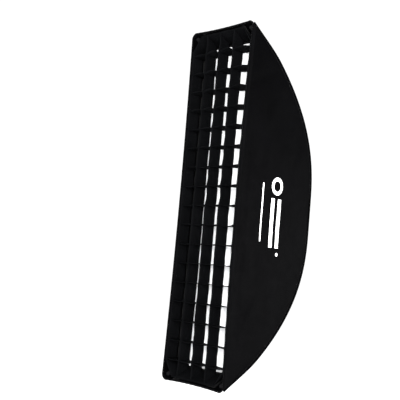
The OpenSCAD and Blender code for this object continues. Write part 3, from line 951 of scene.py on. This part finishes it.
def strip_slack(k, z, t):
    """Sideways slack of a long strip: each cell bows one way or the other, most at the front edge."""
    cell = math.floor((z + ROW_DROP) / PITCH + ROWS / 2)
    lean = noise.noise(Vector((cell * 1.7 + 0.3, k * 5.1 + 2.0, 0.5)))
    loose = 0.0042 * lean * (1 - 0.55 * t) + 0.0009 * noise.noise(Vector((z * 60, k * 9, t * 2)))
    return cell_wave(z) * loose + 0.0005 * noise.noise(Vector((z * 25, k * 3, t * 3)))


def make_long_strip(node, k):
    def ends(t):
        return (END_FRONT_Z + (END_BACK_Z - END_FRONT_Z) * t) - STRIP_T

    def point(v, t):
        z = (2 * v - 1) * ends(t)
        y = GRID_FRONT_Y + GRID_DEPTH * t
        dip = 0.0012 * cell_wave(z) * (1 - t)
        return Vector((strip_x(k, z) + strip_slack(k, z, t) - STRIP_T / 2, y + dip, z))

    def uv(v, t):
        return GRID_DEPTH * t, (2 * v - 1) * END_FRONT_Z

    piece = cloth_sheet(f"cloth_{node}", 288, 8, point, uv, "grid", GRID_CLOTH, STRIP_T,
                        flip=True)
    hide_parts(node)


def make_cross_strips():
    """One ribbon for each row, sewn through the long strips and slack between them."""
    for row in range(1, ROWS):
        z0 = (row - ROWS / 2) * PITCH - ROW_DROP
        reach = strip_x(1, z0) - STRIP_T / 2
        seed = row * 3.7
        lift = ROW_LIFT * smooth((z0 - LIFT_FROM) / LIFT_OVER)
        more = TOP_LIFT if row == ROWS - 1 else {}

        def point(v, t, z0=z0, reach=reach, seed=seed, lift=lift, more=more):
            x = (2 * v - 1) * reach
            column, across = column_at(2 * v - 1)
            swell = math.sin(math.pi * across)
            lean = noise.noise(Vector((column * 2.3 + 0.4, seed, 0.0)))
            droop = (0.0016 + 0.0030 * lean) * (1 - 0.8 * t) + 0.0018 * t
            droop -= (lift + more.get(column, 0.0)) * (1 - t)
            wobble = 0.0006 * noise.noise(Vector((x * 60, seed, t * 3)))
            y = GRID_FRONT_Y + 0.0005 + (GRID_DEPTH - 0.001) * t + 0.0012 * swell * (1 - t)
            return Vector((x, y, z0 + STRIP_T / 2 - swell * droop + wobble))

        def uv(v, t):
            return GRID_DEPTH * t, (2 * v - 1) * HALF_W

        piece = cloth_sheet(f"cloth_grid_cross_{row:02d}", 64, 6, point, uv, "grid",
                            GRID_CLOTH, STRIP_T * 0.85, flip=True)
        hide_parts("grid_cross_pieces")


def border_path(t):
    """The grid's border at depth share t, once round, as (x, z)."""
    wall_steps, corner_steps, end_steps = 68, 6, 16
    end_z = END_FRONT_Z + (END_BACK_Z - END_FRONT_Z) * t
    wall_x = strip_x(1, WALL_END_Z)
    quarter = [(strip_x(1, z), z) for z in (WALL_END_Z * k / wall_steps for k in range(wall_steps + 1))]
    quarter += [(wall_x + (END_WALL_HALF_W - wall_x) * k / corner_steps,
                 WALL_END_Z + (end_z - WALL_END_Z) * k / corner_steps) for k in range(1, corner_steps + 1)]
    quarter += [(END_WALL_HALF_W * k / end_steps, end_z) for k in range(end_steps)][::-1]
    return all_round(quarter)


def make_grid_border():
    """The band of cloth round the grid, puckered where the strips are sewn to it."""
    steps = 8
    rings = [border_path(t / steps) for t in range(steps + 1)]
    count = len(rings[0])
    points, uvs = [], []
    for i in range(count):
        for k, ring in enumerate(rings):
            t = k / steps
            x, z = ring[i]
            if abs(z) < WALL_END_Z:
                ripple = 0.0007 * noise.noise(Vector((x * 8, z * 40, t * 2)))
                pull = -0.0012 * cell_wave(z) * (1 - 0.6 * t) + ripple
                x += math.copysign(STRIP_T / 2 - 0.0004 - pull, x)
            else:
                fold = 0.0036 * noise.noise(Vector((x * 24, t * 1.6, z * 3)))
                z -= math.copysign(0.0018 + abs(fold), z)
            points.append(Vector((x, GRID_FRONT_Y + GRID_DEPTH * t, z)))
            uvs.append((GRID_DEPTH * t, i * 0.0059))
    piece = add_piece("cloth_grid_border", points, grid_faces(count, steps, close_rows=True), "grid",
                      GRID_CLOTH, uvs)
    thicken(piece, STRIP_T)
    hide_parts("grid_border")


# ---- diffusers and tapes ----

DIFFUSER_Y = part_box("front_diffuser")[0].y
DIFFUSER_HALF_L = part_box("front_diffuser")[1].z
DIFFUSER_CHAMFER = 0.026
BAFFLE_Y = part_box("inner_baffle")[0].y
BAFFLE_HALF_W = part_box("inner_baffle")[1].x
BAFFLE_HALF_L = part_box("inner_baffle")[1].z


def diffuser_reach(z):
    """Half width of the front diffuser, narrower at its cut corners."""
    plain = side_x(z, DIFFUSER_Y) - STACK_T - 0.001
    return plain - max(0.0, abs(z) - (DIFFUSER_HALF_L - DIFFUSER_CHAMFER))


def make_front_diffuser():
    def point(v, t):
        z = (2 * v - 1) * DIFFUSER_HALF_L
        x = (2 * t - 1) * diffuser_reach(z)
        inner = smooth((diffuser_reach(z) - abs(x)) / 0.03) * smooth((DIFFUSER_HALF_L - abs(z)) / 0.03)
        return Vector((x, DIFFUSER_Y + 0.0001 + 0.0016 * inner * (1 + fbm(x * 26, z * 3, 61, 2)), z))

    def uv(v, t):
        z = (2 * v - 1) * DIFFUSER_HALF_L
        return (2 * t - 1) * diffuser_reach(z), z

    piece = cloth_sheet("cloth_front_diffuser", 170, 48, point, uv, "front_diffuser",
                        DIFFUSER, 0.0005)
    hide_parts("front_diffuser")


def make_diffuser_border():
    """A frame of loop tape on the front of the diffuser."""
    wide = 0.006
    rows = 100
    # (share across the tape, height over the cloth)
    section = ((0, 0.0), (0.08, 0.0011), (0.5, 0.0013), (0.92, 0.0011), (1, 0.0))
    ring = [(diffuser_reach(z), z) for z in ((2 * k / rows - 1) * DIFFUSER_HALF_L for k in range(rows + 1))]
    loop = ring + [(-x, z) for x, z in ring[::-1]]
    points, uvs = [], []
    for i, (x, z) in enumerate(loop):
        inner = Vector((x - math.copysign(wide, x), 0, z * (1 - wide / DIFFUSER_HALF_L)))
        for share, lift in section:
            p = Vector((x, 0, z)).lerp(inner, share)
            points.append(Vector((p.x, DIFFUSER_Y - 0.0001 - lift, p.z)))
            uvs.append((share * wide, i * 0.008))
    faces = grid_faces(len(loop), len(section) - 1, flip=True, close_rows=True)
    piece = add_piece("tape_diffuser_border", points, faces, "front_diffuser", PILE, uvs)
    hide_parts("diffuser_border")


TAPE_FRONT_Y = FRONT_Y + 0.0055
TAPE_BACK_Y = DIFFUSER_Y + 0.004
SIDE_TAPE_L = 0.79
END_TAPE_L = 0.144


def make_loop_tapes():
    """The loop tape inside the lip, which follows the folds of the panels it is sewn to."""
    for side, sign in SIDES.items():
        def point(v, t, sign=sign):
            z = (v - 0.5) * SIDE_TAPE_L
            y = TAPE_BACK_Y + (TAPE_FRONT_Y - TAPE_BACK_Y) * t
            cloth_x = side_x(z, y) + side_wrinkle(y, z, SIDE_SEED + sign)
            return Vector((sign * (cloth_x - TAPE_GAP - 0.0001), y, z))

        piece = cloth_sheet(f"tape_{side}", 80, 6, point, lambda v, t: (t * 0.04, v * SIDE_TAPE_L), "softbox",
                            PILE, TAPE_T * 0.9, flip=sign > 0)
        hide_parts(f"loop_tape_{side}")
    for end, sign in ENDS.items():
        z0, z1 = seam_z(TAPE_BACK_Y), seam_z(TAPE_FRONT_Y)

        def point(v, t, sign=sign):
            x, z = (v - 0.5) * END_TAPE_L, z0 + (z1 - z0) * t
            e = end_angle(z)
            d = TAPE_GAP + 0.0001 - end_wrinkle(x, z, END_SEED + sign)
            return Vector((x, back_y(z) - d * math.cos(e), sign * (z - end_dip(x, z) - d * math.sin(e))))

        piece = cloth_sheet(f"tape_{end}", 24, 6, point, lambda v, t: (t * 0.05, v * END_TAPE_L), "softbox",
                            PILE, TAPE_T * 0.9, flip=sign < 0)
        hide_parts(f"loop_tape_{end}")


def make_baffle():
    chamfer = 0.022

    def reach(z):
        return BAFFLE_HALF_W - max(0.0, abs(z) - (BAFFLE_HALF_L - chamfer))

    def point(v, t):
        z = (2 * v - 1) * BAFFLE_HALF_L
        x = (2 * t - 1) * reach(z)
        slack = 0.0025 * fbm(x * 12, z * 5, 71, 2) * smooth((reach(z) - abs(x)) / 0.02)
        return Vector((x, BAFFLE_Y + slack, z))

    piece = cloth_sheet("cloth_inner_baffle", 110, 28, point,
                        lambda v, t: ((2 * t - 1) * BAFFLE_HALF_W, (2 * v - 1) * BAFFLE_HALF_L),
                        "softbox", DIFFUSER, 0.0006)
    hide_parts("inner_baffle")


def make_baffle_straps():
    """Elastic straps that hold the baffle to the lining."""
    lap = 0.008
    y = BAFFLE_Y + 0.0014
    wall = FABRIC_T + LINING_GAP + LINING_T + 0.001
    runs = [((sx * (BAFFLE_HALF_W - lap), z), (sx * (side_x(z, y) - wall), z))
            for sx in (1, -1) for z in (-0.22, 0.0, 0.22)]
    runs += [((0.0, sz * (BAFFLE_HALF_L - lap)), (0.0, sz * (seam_z(BAFFLE_Y) - 0.009))) for sz in (1, -1)]
    section = band_section(0.014, 0.001)
    shares = [k / 10 for k in range(11)]
    for k, ((xa, za), (xb, zb)) in enumerate(runs, 1):
        a, b = Vector((xa, y, za)), Vector((xb, y, zb))
        path = [a.lerp(b, share) + Vector((0, 0.0012 * math.sin(math.pi * share), 0)) for share in shares]
        piece = sweep(f"baffle_strap_{k}", path, [Vector((0, 1, 0))] * len(path), section, "softbox",
                      ELASTIC)
        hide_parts("baffle_straps")


# ---- cloth round the speed ring ----


def make_rear_collar():
    """A gathered sleeve that closes the shell round the speed ring."""
    # (radius, y) of the sleeve's section, from the front end round the outside to the lip over the ring
    profile = [(0.0764, -0.0094), (0.0772, -0.0096), (0.0777, -0.0085), (0.0774, -0.0066), (0.0776, -0.0048),
               (0.0774, -0.0030), (0.0768, -0.0010), (0.0760, 0.0003), (0.0748, 0.0004), (0.0750, -0.0012),
               (0.0763, -0.0012), (0.0763, -0.0048)]
    around = 360
    points, uvs = [], []
    for i in range(around):
        a = 2 * math.pi * i / around
        fold = math.sin(a * 52 + 2.5 * noise.noise(Vector((math.cos(a) * 4, math.sin(a) * 4, 0))))
        for k, (r, y) in enumerate(profile):
            bulge = 0.00035 * fold if 1 <= k <= 8 else 0.0
            points.append(Vector(((r + bulge) * math.cos(a), y + 0.5 * bulge, (r + bulge) * math.sin(a))))
            uvs.append((a * 0.078, k * 0.0015))
    piece = add_piece("rear_collar_sleeve", points,
                      grid_faces(around, len(profile), close_rows=True, close_cols=True),
                      "softbox", NYLON, uvs, closed=True)
    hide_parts("rear_collar")


TAB_ANGLES = (68, 112, 248, 292)


def make_ring_tabs():
    """Webbing tabs that fold over the ring onto hook pads, each sewn with a crossed box."""
    section = band_section(0.020, 0.0012)
    # (radius, y, outward radius, outward y) along the tab's middle
    line = [(0.0789, -0.0054, 1, 0), (0.0789, -0.0020, 1, 0), (0.0788, -0.0002, 0.9, 0.4),
            (0.0780, 0.0007, 0.6, 0.8), (0.0765, 0.0010, 0.1, 1), (0.0730, 0.0010, 0, 1),
            (0.0690, 0.0010, 0, 1), (0.0652, 0.0010, 0, 1)]

    def backwards(p):
        return Vector((0, 1, 0))

    thread = []
    for k, angle in enumerate(TAB_ANGLES):
        a = math.radians(angle)
        radial, along = Vector((math.cos(a), 0, math.sin(a))), Vector((-math.sin(a), 0, math.cos(a)))
        path = [radial * r + Vector((0, y, 0)) for r, y, _, _ in line]
        outward = [radial * o + Vector((0, up, 0)) for _, _, o, up in line]
        piece = sweep(f"ring_tab_{k + 1}", path, outward, section, "softbox", WEBBING)
        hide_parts("ring_tabs")
        corners = [radial * r + along * w + Vector((0, 0.0016, 0))
                   for r, w in ((0.0665, -0.008), (0.0750, -0.008), (0.0750, 0.008), (0.0665, 0.008))]
        thread += [(corners, backwards, True), ([corners[0], corners[2]], backwards, False),
                   ([corners[1], corners[3]], backwards, False)]
        pad_points = []
        for r in (0.0655, 0.0658, 0.0727, 0.0730):
            for w in (-0.0090, -0.0087, 0.0087, 0.0090):
                edge = r in (0.0655, 0.0730) or abs(w) > 0.0088
                pad_points.append(radial * r + along * w + Vector((0, -0.0002 if edge else 0.0003, 0)))
        pad_faces = grid_faces(3, 3)
        pad = add_piece(f"ring_hook_pad_{k + 1}", pad_points, pad_faces, "softbox", PILE)
        thicken(pad, 0.0012)
        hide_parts("tab_hook_pads")
    stitches("stitching_tabs", thread, "softbox", THREAD)


# ---- rods' front pockets ----


def rod_end():
    """(tip, direction) of the upper right rod."""
    def at(v):
        return Vector((0.072 + 0.0225 * v ** 1.2, -0.015 - 0.283 * v ** BOW_POWER, 0.040 + 0.394 * v))
    return at(1), (at(1) - at(0.98)).normalized()


def make_corner_pockets():
    """A sewn leather-cloth sleeve over each rod's cap."""
    tip, along = rod_end()
    a1 = along.cross(Vector((1, 0, 0))).normalized()
    a2 = along.cross(a1)
    # (distance along the rod from its tip, radius, flatness)
    rings = [(-0.0090, 0.0044, 1.0), (-0.0092, 0.0053, 1.0), (-0.006, 0.0052, 1.0), (-0.001, 0.0051, 1.0),
             (0.0016, 0.0049, 1.0), (0.0028, 0.0042, 0.9), (0.0033, 0.0020, 0.6)]
    around = 28
    for quarter, (sx, sz) in QUARTERS.items():
        points, uvs = [], []
        for s, r, flat in rings:
            for k in range(around):
                a = 2 * math.pi * k / around
                ridge = 1 + 0.03 * math.sin(6 * a)
                p = tip + along * s + (a1 * math.cos(a) * flat + a2 * math.sin(a)) * r * ridge
                points.append(mirrored(p, sx, sz))
                uvs.append((a * r, s))
        faces = grid_faces(len(rings) - 1, around, close_cols=True)
        last = (len(rings) - 1) * around
        faces.append(tuple(range(last, last + around)))
        piece = add_piece(f"corner_pocket_{quarter}", points, faces, "softbox", WEBBING, uvs,
                          closed=True)
        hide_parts("corner_pockets")


# ---- printed mark: a ring, two bars, a fine line and a dot, in place of the maker's print ----

INK_LIFT = 0.00022


def on_right_panel(y, z):
    return Vector((side_x(z, y) + side_wrinkle(y, z, SIDE_SEED + 1) + INK_LIFT, y, z))


def flat_shape(inside, outside):
    """Points between two (y, z) outlines of equal count, in five steps so that they follow the cloth."""
    steps = 5
    points = []
    for (ya, za), (yb, zb) in zip(inside, outside):
        for k in range(steps + 1):
            points.append((ya + (yb - ya) * k / steps, za + (zb - za) * k / steps))
    return points, steps


def make_print():
    mark_y, mark_z = -0.152, 0.0
    ring_z = mark_z + 0.060
    shapes = []
    ring = circle(72)
    shapes.append((flat_shape([(mark_y + 0.0135 * c, ring_z + 0.0135 * s) for c, s in ring],
                              [(mark_y + 0.0225 * c, ring_z + 0.0225 * s) for c, s in ring]), True))
    disc = circle(40)
    dot_y, dot_z = mark_y + 0.016, mark_z - 0.112
    shapes.append((flat_shape([(dot_y, dot_z)] * len(disc),
                              [(dot_y + 0.0045 * c, dot_z + 0.0045 * s) for c, s in disc]), True))
    # (middle in depth, half width, low end, high end) of each bar
    for y, half, low, high in ((mark_y + 0.0135, 0.0065, -0.096, 0.028),
                               (mark_y - 0.0135, 0.0065, -0.096, 0.028),
                               (mark_y - 0.056, 0.0022, -0.084, 0.062)):
        count = 60
        zs = [low + (high - low) * k / count for k in range(count + 1)]
        shapes.append((flat_shape([(y - half, z) for z in zs], [(y + half, z) for z in zs]), False))
    points, faces, uvs = [], [], []
    for (places, steps), closed in shapes:
        base = len(points)
        rows = len(places) // (steps + 1)
        points += [on_right_panel(y, z) for y, z in places]
        uvs += places
        faces += [tuple(base + k for k in f)
                  for f in grid_faces(rows if closed else rows - 1, steps, close_rows=closed)]
    piece = add_piece("printed_mark", points, faces, "softbox", INK, uvs)
    return piece


# ---- CAD nodes that stay ----


def finish_cad_nodes():
    looks = {"bayonet_insert": ALUMINIUM, "speed_ring": BLACK_METAL, "ring_clips": SOCKET_METAL,
             "socket_rivets": ALUMINIUM, "rod_caps": CAP_PLASTIC}
    looks.update({f"lock_screw_{k}": SCREW_METAL for k in range(1, 5)})
    looks.update({f"rod_socket_{q}": SOCKET_METAL for q in QUARTERS})
    looks.update({f"rod_{q}": ROD_METAL for q in QUARTERS})
    for name, material in looks.items():
        mesh = nodes[name].data
        mesh.materials.clear()
        mesh.materials.append(material)


# ---- studio ----


def make_camera():
    place = Vector((1.3635, -1.6139, -0.1705))
    aim = Vector((-0.0115, -0.3187, 0.0050))
    roll = math.radians(5.02)
    data = bpy.data.cameras.new("camera")
    data.sensor_width = 36
    data.lens = 68.86
    camera = bpy.data.objects.new("camera", data)
    bpy.context.scene.collection.objects.link(camera)
    back = (place - aim).normalized()
    right = Vector((0, 0, 1)).cross(back).normalized()
    up = back.cross(right)
    turned_right = right * math.cos(roll) + up * math.sin(roll)
    turned_up = up * math.cos(roll) - right * math.sin(roll)
    turn = Matrix((turned_right, turned_up, back)).transposed().to_4x4()
    camera.matrix_world = Matrix.Translation(place) @ turn
    bpy.context.scene.camera = camera


def area_light(name, place, target, size, power):
    data = bpy.data.lights.new(name, "AREA")
    data.shape = "RECTANGLE"
    data.size, data.size_y = size
    data.energy = power
    light = bpy.data.objects.new(name, data)
    light.location = place
    light.rotation_euler = (Vector(target) - Vector(place)).to_track_quat("-Z", "Y").to_euler()
    bpy.context.scene.collection.objects.link(light)


def make_studio():
    world = bpy.data.worlds.new("studio")
    world.use_nodes = True
    world.node_tree.nodes["Background"].inputs["Color"].default_value = (1, 1, 1, 1)
    world.node_tree.nodes["Background"].inputs["Strength"].default_value = 1.1
    bpy.context.scene.world = world
    bpy.context.scene.view_settings.view_transform = "Standard"
    floor_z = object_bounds()[0][2] - 0.35
    half = 30
    mesh = bpy.data.meshes.new("floor")
    corners = ((-half, -half), (half, -half), (half, half), (-half, half))
    mesh.from_pydata([(x, y, floor_z) for x, y in corners], [], [(0, 1, 2, 3)])
    floor = bpy.data.objects.new("floor", mesh)
    bpy.context.scene.collection.objects.link(floor)
    s = Shader("pale_floor")
    s.set(Base_Color=(0.97, 0.97, 0.97, 1), Roughness=0.9, Specular_IOR_Level=0.0)
    mesh.materials.append(s.material)
    middle = (0, -0.2, 0)
    area_light("front_key", (1.9, -2.2, 0.3), middle, (1.2, 1.2), 150)
    area_light("side_gloss", (1.35, 1.6, -0.1), middle, (0.8, 0.8), 80)
    area_light("overhead", (0, 0.4, 3.0), middle, (3.0, 3.0), 80)


make_camera()
for side, sign in SIDES.items():
    make_side_panel(side, sign)
    make_side_lining(side, sign)
for end, sign in ENDS.items():
    make_end_panel(end, sign)
    make_end_lining(end, sign)
for quarter, (sx, sz) in QUARTERS.items():
    make_piping(quarter, sx, sz)
make_hem()
make_stitching()
make_grid_border()
for strip, share in LONG_STRIPS.items():
    make_long_strip(strip, share)
make_cross_strips()
make_front_diffuser()
make_diffuser_border()
make_loop_tapes()
make_baffle()
make_baffle_straps()
make_rear_collar()
make_ring_tabs()
make_corner_pockets()
make_print()
finish_cad_nodes()
make_studio()
